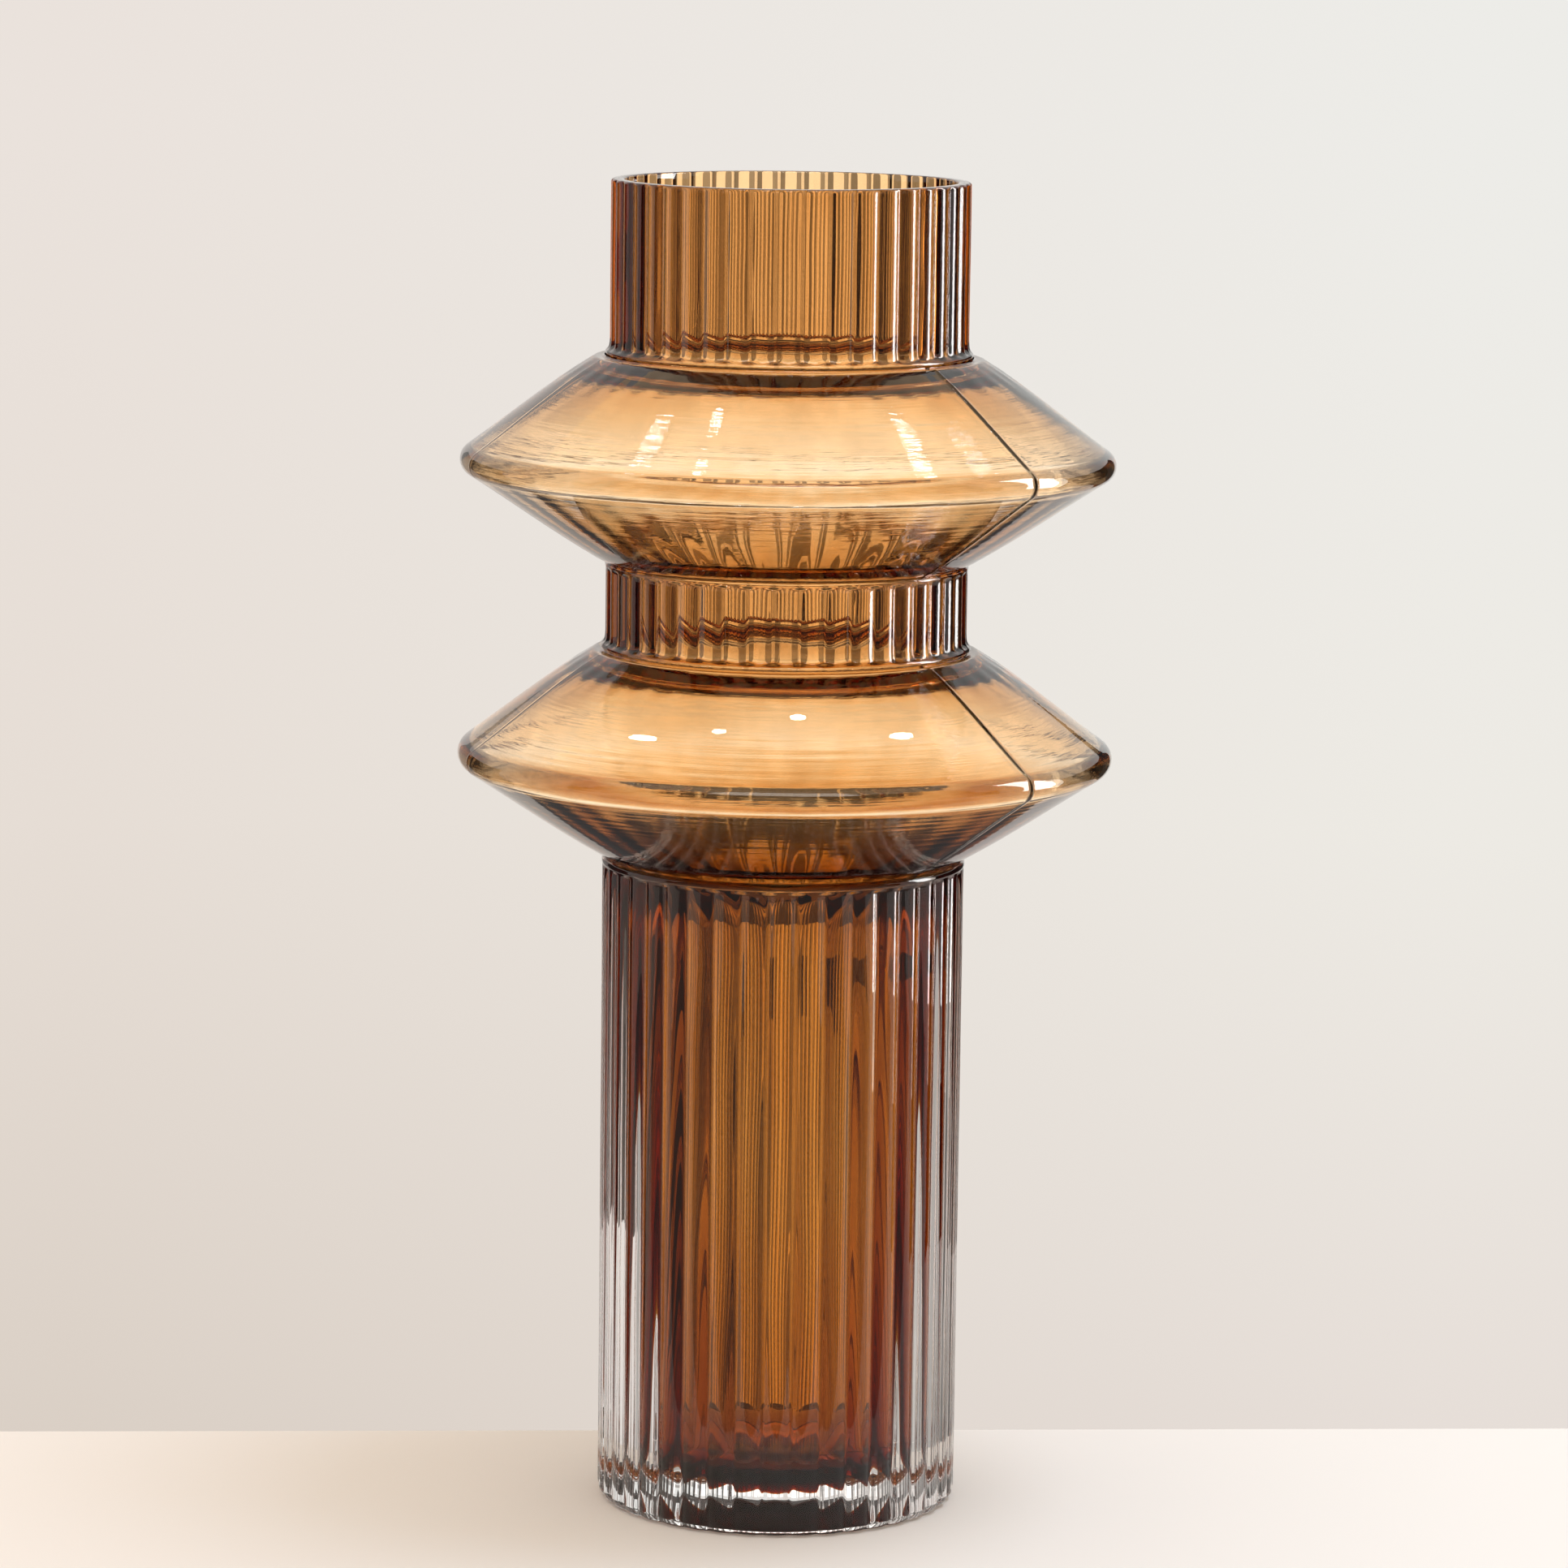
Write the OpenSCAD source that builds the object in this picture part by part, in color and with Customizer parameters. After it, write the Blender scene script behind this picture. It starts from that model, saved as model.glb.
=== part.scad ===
// Cased blown-glass vase: a ribbed column, two sharp-edged discs, a ribbed waist
// between them and a ribbed collar, each made of an amber inner layer under a
// clear outer layer, on a thick clear foot.
// Millimetres, +Z up, origin at the centre of the foot where it rests.

/* [Heights] */
// Thickness of the solid clear foot
foot_h = 10.5; // [8:0.5:20]
// How far the foot's underside is hollowed at its middle
foot_hollow = 2.6; // [0.4:0.1:3]
// Radius at which that hollow starts; the ring outside it stands on the table
hollow_r = 46; // [40:0.5:47]
// Height of the ribbed column above the foot
column_h = 188.5; // [150:0.5:230]
// Height of the lower disc between its two joint rings
lower_disc_h = 63.5; // [60:0.5:75]
// Height of the ribbed waist
waist_h = 26; // [18:1:40]
// Height of the upper disc between its two joint rings
upper_disc_h = 62.5; // [60:0.5:75]
// Height of the ribbed collar
collar_h = 52.5; // [40:0.5:80]

/* [Radii] */
// Column radius over the rib crests
column_r = 55; // [54:0.1:58]
// Waist radius over the rib crests
waist_r = 54.7; // [54:0.1:56]
// Collar radius over the rib crests
collar_r = 54; // [53.5:0.1:56]
// Radius of the circle that the foot rests on
foot_r = 51.7; // [48:0.1:52.5]
// Lower disc radius at its sharp edge
lower_disc_r = 99.2; // [92:0.1:110]
// Upper disc radius at its sharp edge
upper_disc_r = 98.8; // [92:0.1:110]
// Rounding of the edge of both discs
disc_tip = 4.5; // [3.5:0.1:5]

/* [Ribs] */
// Ribs round the column and the foot
column_ribs = 40; // [36:1:44]
// Ribs round the waist and the collar
neck_ribs = 44; // [40:1:48]
// Radius of each convex rib
rib_r = 6.5; // [6:0.1:8]
// Rounding of the foot's lower edge
foot_round = 3.3; // [2:0.1:3.5]

/* [Glass layers] */
// Clear radius of the mouth inside the collar
mouth_r = 50; // [48:0.1:50.4]
// Amber layer in the collar
collar_core_t = 1.7; // [1.2:0.1:2]
// Amber layer in the waist
waist_core_t = 1.7; // [1.2:0.1:2]
// Whole wall of the discs, measured square to it
disc_wall = 3; // [2.6:0.1:4.2]
// Share of that wall left at the discs' edge, where blown glass thins
disc_thin = 0.5; // [0.45:0.05:0.7]
// Amber layer in the discs, measured square to it
disc_core_t = 0.9; // [0.7:0.1:1.3]
// Amber layer in the column
column_core_t = 3; // [2:0.1:4]
// Outer radius of the amber layer just above the foot
core_bottom_r = 29.5; // [27:0.5:40]
// How far the amber layer's rounded underside dips into the clear foot
core_dip = 6; // [2:0.5:6]
// Outer radius of the amber layer near the top of the column
core_top_r = 41; // [38:0.5:44]

/* [Hidden] */
$fn = 96;

z_col = foot_h + column_h;            // joint ring: column to lower disc
z_ld = z_col + lower_disc_h;          // joint ring: lower disc to waist
z_wa = z_ld + waist_h;                // joint ring: waist to upper disc
z_ud = z_wa + upper_disc_h;           // joint ring: upper disc to collar
z_top = z_ud + collar_h;              // rim
bead = 1.5;                           // rounded ring that closes off the rib ends
necks = mouth_r;                      // bore through waist and collar

// Where the discs' surfaces meet the joint rings (radius at the ring)
function outer_ring() = [53.6, 55.2, 55.2, 55.5];

// Tangent point on the circle (c, r) seen from p, on the side away from the axis
function tangent(p, c, r) =
    let (d = p - c, l = norm(d), a = atan2(d[1], d[0]), b = acos(r / l),
         u = c + r * [cos(a + b), sin(a + b)], v = c + r * [cos(a - b), sin(a - b)])
    u[0] > v[0] ? u : v;

// Round edge of a disc from the lower cone to the upper cone, as [radius, height]
function edge(lo, hi, c, r, n = 12) =
    let (t0 = tangent(lo, c, r), t1 = tangent(hi, c, r),
         a0 = atan2(t0[1] - c[1], t0[0] - c[0]), a1 = atan2(t1[1] - c[1], t1[0] - c[0]))
    [for (i = [0 : n]) let (a = a0 + (a1 - a0) * i / n) c + r * [cos(a), sin(a)]];

// Outline of a disc's surface moved inwards by t: lower ring, lower cone, edge,
// upper cone, shoulder, upper ring
function disc_outline(z0, z1, r0, r1, edge_r, tip, t, lip) =
    let (ze = z0 + (z1 - z0) * 0.493,
         k = t / 0.815,                       // vertical offset of a cone square to its wall
         lo = [r0, z0 + k], hi = [r1 + 4.2, z1 - 0.7 - k],
         c = [edge_r - tip, ze], rr = tip - t * disc_thin)
    concat(edge(lo, hi, c, rr));

function tips(n, z0, z1, ro, t) = disc_outline(z0, z1, n[0], n[1], ro, disc_tip, t, 0);

// Two-dimensional ribbed outline: round ribs on a circle
module ribbed(r, n) {
    circle(r - rib_r * 0.45);
    for (i = [0 : n - 1]) rotate(i * 360 / n) translate([r - rib_r, 0]) circle(rib_r, $fn = 48);
}

// Envelope that rounds the ends of a ribbed section
module envelope(r, z0, z1, lower, upper, foot = 0) {
    rotate_extrude()
        polygon(concat(
            [[0, z0]],
            lower > 0
                ? [for (i = [0 : 6]) let (a = 90 * i / 6)
                      [r + 0.02 - lower + lower * sin(a), z0 + lower - lower * cos(a)]]
                : [[r + 0.02, z0]],
            upper > 0
                ? [for (i = [0 : 6]) let (a = 90 * i / 6)
                      [r + 0.02 - upper + upper * cos(a), z1 - upper + upper * sin(a)]]
                : [[r + 0.02, z1]],
            [[0, z1]]));
}

module ring_bead(r, z) {
    rotate_extrude() translate([r - bead, z]) circle(bead, $fn = 32);
}

// Outer surface of the amber layer in the column, as [radius, height]
function core_out() = [
    [0, foot_h], [core_bottom_r - 5, foot_h], [core_bottom_r - 1.6, foot_h + 1.4],
    [core_bottom_r, foot_h + 5], [core_top_r, z_col - 14],
    [core_top_r + 3.6, z_col - 6], [outer_ring()[0] - 3, z_col]];

// Inner surface of the same layer, from the top down
function core_in() = [
    [outer_ring()[0] - 3 - column_core_t - 1, z_col], [core_top_r + 3 - column_core_t, z_col - 4],
    [core_top_r - column_core_t, z_col - 13], [core_bottom_r - column_core_t, foot_h + 9],
    [core_bottom_r - column_core_t - 2.4, foot_h + 5], [core_bottom_r - column_core_t - 7, foot_h + column_core_t],
    [0, foot_h + column_core_t]];

// The amber layer's rounded underside: a ball that bulges core_dip below the foot's top
dip_r = core_bottom_r - 6.5;
dip_ball = (dip_r * dip_r + core_dip * core_dip) / (2 * core_dip);
// The shallow hollow under the foot, never closer than 1.2 mm to the amber above it
hollow = min(foot_hollow, foot_h - core_dip - 1.2);
hollow_ball = (hollow_r * hollow_r + hollow * hollow) / (2 * hollow);
module dip_sphere() { translate([0, 0, foot_h - core_dip + dip_ball]) sphere(r = dip_ball); }

module base_disc() {
    color([0.93, 0.93, 0.92, 0.45])
        difference() {
            intersection() {
                linear_extrude(foot_h) ribbed(column_r, column_ribs);
                envelope(column_r, 0, foot_h, column_r - foot_r, 0);
            }
            dip_sphere();
            translate([0, 0, hollow - hollow_ball]) sphere(r = hollow_ball);
        }
}

module column_casing() {
    color([0.90, 0.88, 0.86, 0.45])
        difference() {
            union() {
                intersection() {
                    translate([0, 0, foot_h]) linear_extrude(column_h) ribbed(column_r, column_ribs);
                    envelope(column_r, foot_h, z_col, 0, 2.4);
                }
                ring_bead(column_r - 0.3, z_col - bead - 0.4);
            }
            rotate_extrude() polygon(concat(core_out(), [[0, z_col]]));
        }
}

module column_core() {
    color([0.55, 0.30, 0.10, 0.75])
        union() {
            rotate_extrude() polygon(concat(core_out(), core_in()));
            intersection() {
                dip_sphere();
                cylinder(r = dip_r + 1, h = foot_h + 1);
            }
        }
}

// Surfaces of one disc at a depth t below its outside, from the lower ring to the upper
function disc_skin(z0, z1, r0, r1, ro, t, lo_r, hi_r) =
    concat([[lo_r, z0]], tips([r0, r1], z0, z1, ro, t), [[hi_r + 1.2, z1 - 0.35], [hi_r, z1]]);

function rev(l) = [for (i = [len(l) - 1 : -1 : 0]) l[i]];

module disc_layer(z0, z1, r0, r1, ro, t0, t1, a, b) {
    rotate_extrude()
        polygon(concat(disc_skin(z0, z1, r0, r1, ro, t0, a[0], a[1]),
                       rev(disc_skin(z0, z1, r0, r1, ro, t1, b[0], b[1]))));
}

lo_a = [outer_ring()[0], outer_ring()[1]];                                     // outside
lo_b = [outer_ring()[0] - 3, necks + waist_core_t];                            // between the layers
lo_c = [outer_ring()[0] - 4 - column_core_t, necks];                           // inside
up_a = [outer_ring()[2], outer_ring()[3]];
up_b = [necks + waist_core_t, necks + collar_core_t];
up_c = [necks, necks];
disc_case_t = disc_wall - disc_core_t;

module lower_disc_casing() {
    color([0.92, 0.88, 0.82, 0.40])
        disc_layer(z_col, z_ld, lo_a[0], lo_a[1], lower_disc_r, 0, disc_case_t, lo_a, lo_b);
}

module lower_disc_core() {
    color([0.86, 0.66, 0.42, 0.55])
        disc_layer(z_col, z_ld, lo_a[0], lo_a[1], lower_disc_r, disc_case_t, disc_wall, lo_b, lo_c);
}

module upper_disc_casing() {
    color([0.92, 0.88, 0.82, 0.40])
        disc_layer(z_wa, z_ud, up_a[0], up_a[1], upper_disc_r, 0, disc_case_t, up_a, up_b);
}

module upper_disc_core() {
    color([0.88, 0.68, 0.44, 0.55])
        disc_layer(z_wa, z_ud, up_a[0], up_a[1], upper_disc_r, disc_case_t, disc_wall, up_b, up_c);
}

// Clear ribbed sleeve of the waist and the collar
module sleeve(r, z0, z1, bore_r, top_bead, rim) {
    difference() {
        union() {
            intersection() {
                translate([0, 0, z0]) linear_extrude(z1 - z0) ribbed(r, neck_ribs);
                envelope(r, z0, z1, 0, rim);
            }
            ring_bead(r + 0.9, z0 + bead);
            if (top_bead) ring_bead(r + 0.4, z1 - bead);
        }
        translate([0, 0, z0 - 1]) cylinder(r = bore_r, h = z1 - z0 + 2);
    }
}

module tube(ro, ri, z0, z1) {
    translate([0, 0, z0]) difference() {
        cylinder(r = ro, h = z1 - z0);
        translate([0, 0, -1]) cylinder(r = ri, h = z1 - z0 + 2);
    }
}

module waist_casing() {
    color([0.88, 0.84, 0.80, 0.45])
        sleeve(waist_r, z_ld, z_wa, necks + waist_core_t, true, 0);
}

module waist_core() {
    color([0.66, 0.42, 0.20, 0.65]) tube(necks + waist_core_t, necks, z_ld, z_wa);
}

module collar_casing() {
    color([0.88, 0.84, 0.80, 0.45])
        sleeve(collar_r, z_ud, z_top, mouth_r + collar_core_t, false, 0.9);
}

module collar_core() {
    color([0.70, 0.45, 0.21, 0.65]) tube(mouth_r + collar_core_t, mouth_r, z_ud, z_top);
}

base_disc();
column_casing();
column_core();
lower_disc_casing();
lower_disc_core();
waist_casing();
waist_core();
upper_disc_casing();
upper_disc_core();
collar_casing();
collar_core();
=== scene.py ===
import math

import bpy
import numpy as np
from mathutils import Matrix, Vector


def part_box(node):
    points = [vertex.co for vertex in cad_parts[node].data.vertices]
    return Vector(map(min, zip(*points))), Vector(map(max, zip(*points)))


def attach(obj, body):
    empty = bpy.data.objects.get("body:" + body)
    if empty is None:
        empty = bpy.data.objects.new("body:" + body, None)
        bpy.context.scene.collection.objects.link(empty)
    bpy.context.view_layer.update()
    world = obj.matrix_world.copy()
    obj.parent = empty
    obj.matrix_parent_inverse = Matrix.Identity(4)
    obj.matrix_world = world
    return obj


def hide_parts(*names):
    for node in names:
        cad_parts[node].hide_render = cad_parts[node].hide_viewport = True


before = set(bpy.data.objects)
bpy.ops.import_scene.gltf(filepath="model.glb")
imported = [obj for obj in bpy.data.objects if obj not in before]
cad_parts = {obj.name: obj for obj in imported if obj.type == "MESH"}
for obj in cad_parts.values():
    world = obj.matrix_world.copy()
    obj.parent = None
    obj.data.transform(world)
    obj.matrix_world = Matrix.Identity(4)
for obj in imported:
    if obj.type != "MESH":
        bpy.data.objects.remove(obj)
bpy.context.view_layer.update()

MM = 0.001
AIR, JOINT = 1.5, 1.0          # optical index step: glass to air, and glass to glass
GAP = 0.02                     # mm left between two pieces of glass that meet

# ---------------------------------------------------------------- the design, in mm
Z_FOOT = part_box("base_disc")[1].z / MM
Z_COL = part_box("column_casing")[1].z / MM
Z_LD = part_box("lower_disc_casing")[1].z / MM
Z_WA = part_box("waist_casing")[1].z / MM
Z_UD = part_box("upper_disc_casing")[1].z / MM
Z_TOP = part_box("collar_casing")[1].z / MM
R_COL, R_WA, R_CO = 55.0, 54.7, 54.0
R_FOOT, FOOT_ROUND = 51.7, 3.3
R_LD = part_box("lower_disc_casing")[1].x / MM
R_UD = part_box("upper_disc_casing")[1].x / MM
N_COL, N_NECK = 40, 44
BORE, CORE_T = 50.0, 1.7

# ---------------------------------------------------------------- small maths
def smooth(a, b, x):
    t = np.clip((x - a) / (b - a), 0.0, 1.0)
    return t * t * (3 - 2 * t)


def waves(theta, z, seed, lt, lz, n=7):
    """A soft, repeatable unevenness in about -1..1 that closes on itself round the axis."""
    rng = np.random.RandomState(seed)
    out = 0.0
    for _ in range(n):
        k = max(1, int(round(lt * rng.uniform(0.5, 1.6))))
        w = 2 * math.pi / (lz * rng.uniform(0.6, 1.7))
        s = rng.choice([-1.0, 1.0])
        out = out + np.sin(k * theta + s * w * z + rng.uniform(0, 6.283)) * rng.uniform(0.5, 1.0)
    return out / (0.62 * n)


def rib(theta, n, radius, rho, soft, seed):
    """How far a ribbed outline lies inside the crest circle: round ribs of radius rho with soft valleys."""
    rng = np.random.RandomState(seed)
    pitch = 2 * math.pi / n
    jit = rng.uniform(-1, 1, n) * 0.035
    ph = theta / pitch
    # every rib is a little wider or narrower than its neighbours
    ph = ph + 0.03 * np.sin(theta * 3 + seed) + 0.02 * np.sin(theta * 7 + 2 * seed)
    k = np.floor(ph + 0.5).astype(int) % n
    f = ph - np.floor(ph + 0.5)
    d = 0.5 - np.abs(f)
    d = np.sqrt(d * d + soft * soft)
    a = np.clip(0.5 - d, 0, 0.5) * pitch
    c = radius - rho
    r = c * np.cos(a) + np.sqrt(np.maximum(rho * rho - (c * np.sin(a)) ** 2, 0))
    return (radius - r) * (1 + jit[k] * 2.0)


# ---------------------------------------------------------------- mesh building
def lathe(name, rows, nth, closed=True):
    """A solid of revolution from rows of (r, z, ior of the band that follows, sharp). r and z may be arrays over theta.
    A closed section loops back to its first row. Otherwise it starts and ends on the axis. nth is a count or the angles."""
    if isinstance(nth, int):
        th = np.arange(nth) * (2 * math.pi / nth)
    else:
        th, nth = nth, len(nth)
    ct, st = np.cos(th), np.sin(th)
    P = []
    for r, z in [row[:2] for row in rows]:
        r = r(th) if callable(r) else np.full(nth, float(r))
        z = z(th) if callable(z) else np.full(nth, float(z))
        P.append(np.stack([r * ct, r * st, z], 1))
    V = np.concatenate(P) * MM
    n = len(rows)
    faces, ior = [], []
    j = np.arange(nth)
    jn = (j + 1) % nth
    bands = n if closed else n - 1
    for i in range(bands):
        a, b = i * nth, ((i + 1) % n) * nth
        faces.append(np.stack([a + j, a + jn, b + jn, b + j], 1))
        ior += [rows[i][2]] * nth
    F = [tuple(int(x) for x in q) for q in np.concatenate(faces)]
    V = [tuple(v) for v in V]
    if not closed:  # caps on the axis
        for ring, flip, tag in ((0, True, rows[0][4] if len(rows[0]) > 4 else AIR), (n - 1, False, rows[-1][2])):
            z = float(np.mean(P[ring][:, 2])) * MM
            c = len(V)
            V.append((0.0, 0.0, z))
            a = ring * nth
            for q in range(nth):
                p, s = a + q, a + (q + 1) % nth
                F.append((c, s, p) if flip else (c, p, s))
                ior.append(tag)
    me = bpy.data.meshes.new(name)
    me.from_pydata(V, [], F)
    me.validate()
    me.update()
    at = me.attributes.new("glass_ior", "FLOAT", "FACE")
    at.data.foreach_set("value", np.array(ior, np.float32))
    # sharp rings
    sharp = np.zeros(len(me.edges), bool)
    ev = np.zeros(len(me.edges) * 2, np.int32)
    me.edges.foreach_get("vertices", ev)
    ev = ev.reshape(-1, 2)
    ring = ev // nth
    flags = np.array([bool(row[3]) for row in rows] + [False])
    ring = np.minimum(ring, n)
    same = (ring[:, 0] == ring[:, 1]) & (ring[:, 0] < n)
    sharp[same] = flags[ring[same, 0]]
    me.polygons.foreach_set("use_smooth", np.ones(len(me.polygons), bool))
    se = me.attributes.get("sharp_edge") or me.attributes.new("sharp_edge", "BOOLEAN", "EDGE")
    se.data.foreach_set("value", sharp)
    ob = bpy.data.objects.new(name, me)
    bpy.context.scene.collection.objects.link(ob)
    # outward normals
    import bmesh
    bm = bmesh.new()
    bm.from_mesh(me)
    bmesh.ops.recalc_face_normals(bm, faces=bm.faces)
    if bm.calc_volume(signed=True) < 0:
        bmesh.ops.reverse_faces(bm, faces=bm.faces)
    bm.to_mesh(me)
    bm.free()
    return ob


def arc(cr, cz, r, a0, a1, n):
    return [(cr + r * math.cos(math.radians(a)), cz + r * math.sin(math.radians(a)))
            for a in np.linspace(a0, a1, n)]


def tangent(p, c, r):
    d = np.array(p) - np.array(c)
    l = math.hypot(*d)
    a = math.atan2(d[1], d[0])
    b = math.acos(r / l)
    return max(((c[0] + r * math.cos(a + s * b), c[1] + r * math.sin(a + s * b)) for s in (1, -1)), key=lambda q: q[0])


def fillet(pts, radii, n=7):
    """The polyline with its inner corners rounded by the given lengths."""
    out = [pts[0]]
    for i in range(1, len(pts) - 1):
        p0, p1, p2 = (np.array(pts[k], float) for k in (i - 1, i, i + 1))
        q = radii[i]
        if q <= 0:
            out.append(tuple(p1))
            continue
        u, v = p0 - p1, p2 - p1
        lu, lv = np.linalg.norm(u), np.linalg.norm(v)
        q = min(q, lu * 0.48, lv * 0.48)
        a, b = p1 + u / lu * q, p1 + v / lv * q
        for t in np.linspace(0, 1, n):
            out.append(tuple((1 - t) ** 2 * a + 2 * t * (1 - t) * p1 + t * t * b))
    out.append(pts[-1])
    return out


def resample(pts, step):
    out = []
    for (a, b) in zip(pts[:-1], pts[1:]):
        l = math.hypot(b[0] - a[0], b[1] - a[1])
        k = max(1, int(math.ceil(l / step)))
        for i in range(k):
            t = i / k
            out.append((a[0] + (b[0] - a[0]) * t, a[1] + (b[1] - a[1]) * t))
    out.append(pts[-1])
    return out


# ---------------------------------------------------------------- outlines shared by neighbours
def bezier(p0, t0, p1, t1, k, n):
    """A smooth link from p0, leaving along t0, to p1, arriving along t1."""
    p0, p1, t0, t1 = (np.array(v, float) for v in (p0, p1, t0, t1))
    t0, t1 = t0 / np.linalg.norm(t0), t1 / np.linalg.norm(t1)
    l = np.linalg.norm(p1 - p0) * k
    a, b = p0 + t0 * l, p1 - t1 * l
    return [tuple((1 - t) ** 3 * p0 + 3 * (1 - t) ** 2 * t * a + 3 * (1 - t) * t * t * b + t ** 3 * p1) for t in np.linspace(0, 1, n)]


def disc_frame(z0, z1, r0, r1, edge, tip, crown, n):
    """The disc's outside from its lower ring to its upper one: points, inward normals and the share of the way to the tip."""
    ze = z0 + (z1 - z0) * 0.493
    c = (edge - tip, ze)
    lo, hi = (r0, z0), (r1 + 3.4, z1 - 0.7)
    a, b = tangent(lo, c, tip), tangent(hi, c, tip)
    a0 = math.degrees(math.atan2(a[1] - c[1], a[0] - c[0]))
    a1 = math.degrees(math.atan2(b[1] - c[1], b[0] - c[0]))
    P, N, U = [], [], []
    for p, q, up in ((lo, a, False), (b, hi, True)):
        d = np.array(q) - np.array(p)
        l = np.linalg.norm(d)
        d = d / l
        nin = np.array((-d[1], d[0]))
        for t in np.linspace(0, 1, n, endpoint=up)[(1 if up else 0):]:
            # a slight bulge that dies away towards the edge
            w, dw = (6.75 * t * t * (1 - t), 6.75 * t * (2 - 3 * t)) if up else (6.75 * t * (1 - t) ** 2, 6.75 * (1 - t) * (1 - 3 * t))
            w, dw = w * crown, dw * crown
            nn = nin + d * (dw / l)
            nn = nn / np.linalg.norm(nn)
            P.append(tuple(np.array(p) + d * l * t - nin * w))
            N.append(tuple(nn))
            U.append(1 - t if up else t)
        if not up:
            for w in np.linspace(a0, a1, 17):
                q2 = math.radians(w)
                P.append((c[0] + tip * math.cos(q2), c[1] + tip * math.sin(q2)))
                N.append((-math.cos(q2), -math.sin(q2)))
                U.append(1.0)
    return P, N, U


def disc_layer(fr, depth, lo, lo_dir, hi, hi_dir, cut=0.24, n=13):
    """A surface inside the disc, depth(u) below its outside, led smoothly into the bores of its neighbours."""
    P, N, U = fr
    # the inside is the outside moved in towards the axis, so that it keeps the same curve round the edge
    tip = [k for k, u in enumerate(U) if u >= 1.0]
    l0, l1 = -N[tip[0] - 1][0], -N[tip[-1] + 1][0]
    body = []
    for k, (p, q, u) in enumerate(zip(P, N, U)):
        if u >= 1.0:
            lean = l0 + (l1 - l0) * smooth(tip[0], tip[-1], k)
        else:
            lean = -q[0]
        if u > cut:
            body.append((p[0] - depth(u, k < tip[0]) / lean, p[1]))
    a, b = body[0], body[-1]
    ta = (body[1][0] - a[0], body[1][1] - a[1])
    tb = (b[0] - body[-2][0], b[1] - body[-2][1])
    return bezier(lo, lo_dir, a, ta, 0.38, n)[:-1] + body + bezier(b, tb, hi, hi_dir, 0.38, n)[1:]


def flare(r0, r1, k, drop=32.0, n=14):
    """A wall opening out smoothly over the top of the column, from radius r0 to r1 at the ring."""
    return [(r0 + (r1 - r0) * (i / n) ** k, Z_COL - drop * (1 - i / n)) for i in range(n + 1)]


def core_out():
    low = [(24.5, Z_FOOT), (27.9, Z_FOOT + 1.4), (29.5, Z_FOOT + 5), (34.5, Z_COL - 98)]
    return fillet(low + [(39.2, Z_COL - 32)], [0, 3, 3, 0, 0]) + flare(39.2, 50.6, 2.5)[1:]


def core_in():
    low = [(36.4, Z_COL - 32), (26.5, Z_FOOT + 9), (24.1, Z_FOOT + 5), (19.5, Z_FOOT + 3.2), (10.0, Z_FOOT + 3.0)]
    return flare(36.4, 48.4, 2.7)[:0:-1] + fillet(low, [0, 6, 3, 5, 0])


DIP_R, DIP = 23.0, 6.0


def dip_line():
    """The amber's rounded underside, from near the axis out to where it meets the flat top of the foot."""
    ball = (DIP_R ** 2 + DIP ** 2) / (2 * DIP)
    return [(r, Z_FOOT - DIP + ball - math.sqrt(ball * ball - r * r)) for r in (1.0, 4.0, 8.0, 12.0, 16.0, 19.5, DIP_R)]


def col_outer(z0, z1, round_foot, bead_top):
    """Rows of the column's ribbed outside."""
    rows = []
    zs = []
    if round_foot:
        rows.append((R_FOOT - 1.2, 0.0, 0.35))
        for a in np.linspace(0, 90, 12):
            q = math.radians(a)
            rows.append((R_FOOT + FOOT_ROUND * math.sin(q), FOOT_ROUND * (1 - math.cos(q)), 0.35 + 0.65 * math.sin(q)))
        zs = list(np.arange(FOOT_ROUND + 1.5, z1, 2.0)) + [z1]
    else:
        top = z1 - 6
        zs = list(np.arange(z0, top, 3.0)) + list(np.linspace(top, z1 - 2.1, 18))
    for z in zs:
        amp = 1.0 - smooth(z1 - 3.6, z1 - 2.1, z) if bead_top else 1.0
        rows.append((R_COL, z, float(amp)))
    if bead_top:
        for a in np.linspace(-20, 90, 12):
            q = math.radians(a)
            rows.append((R_COL - 1.4 + 1.6 * math.cos(q), z1 - 1.6 + 1.6 * math.sin(q), 0.0))
    return rows


def ribbed_rows(rows, n, radius, rho, soft, seed, wob=0.10):
    out = []
    for r, z, amp in rows:
        def f(th, r=r, z=z, amp=amp):
            base = rib(th, n, radius, rho, soft, seed) * amp
            return r - base - wob * amp * (0.5 + 0.5 * waves(th, z, seed + 5, 9, 60))
        out.append((f, z, AIR, False))
    return out


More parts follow.
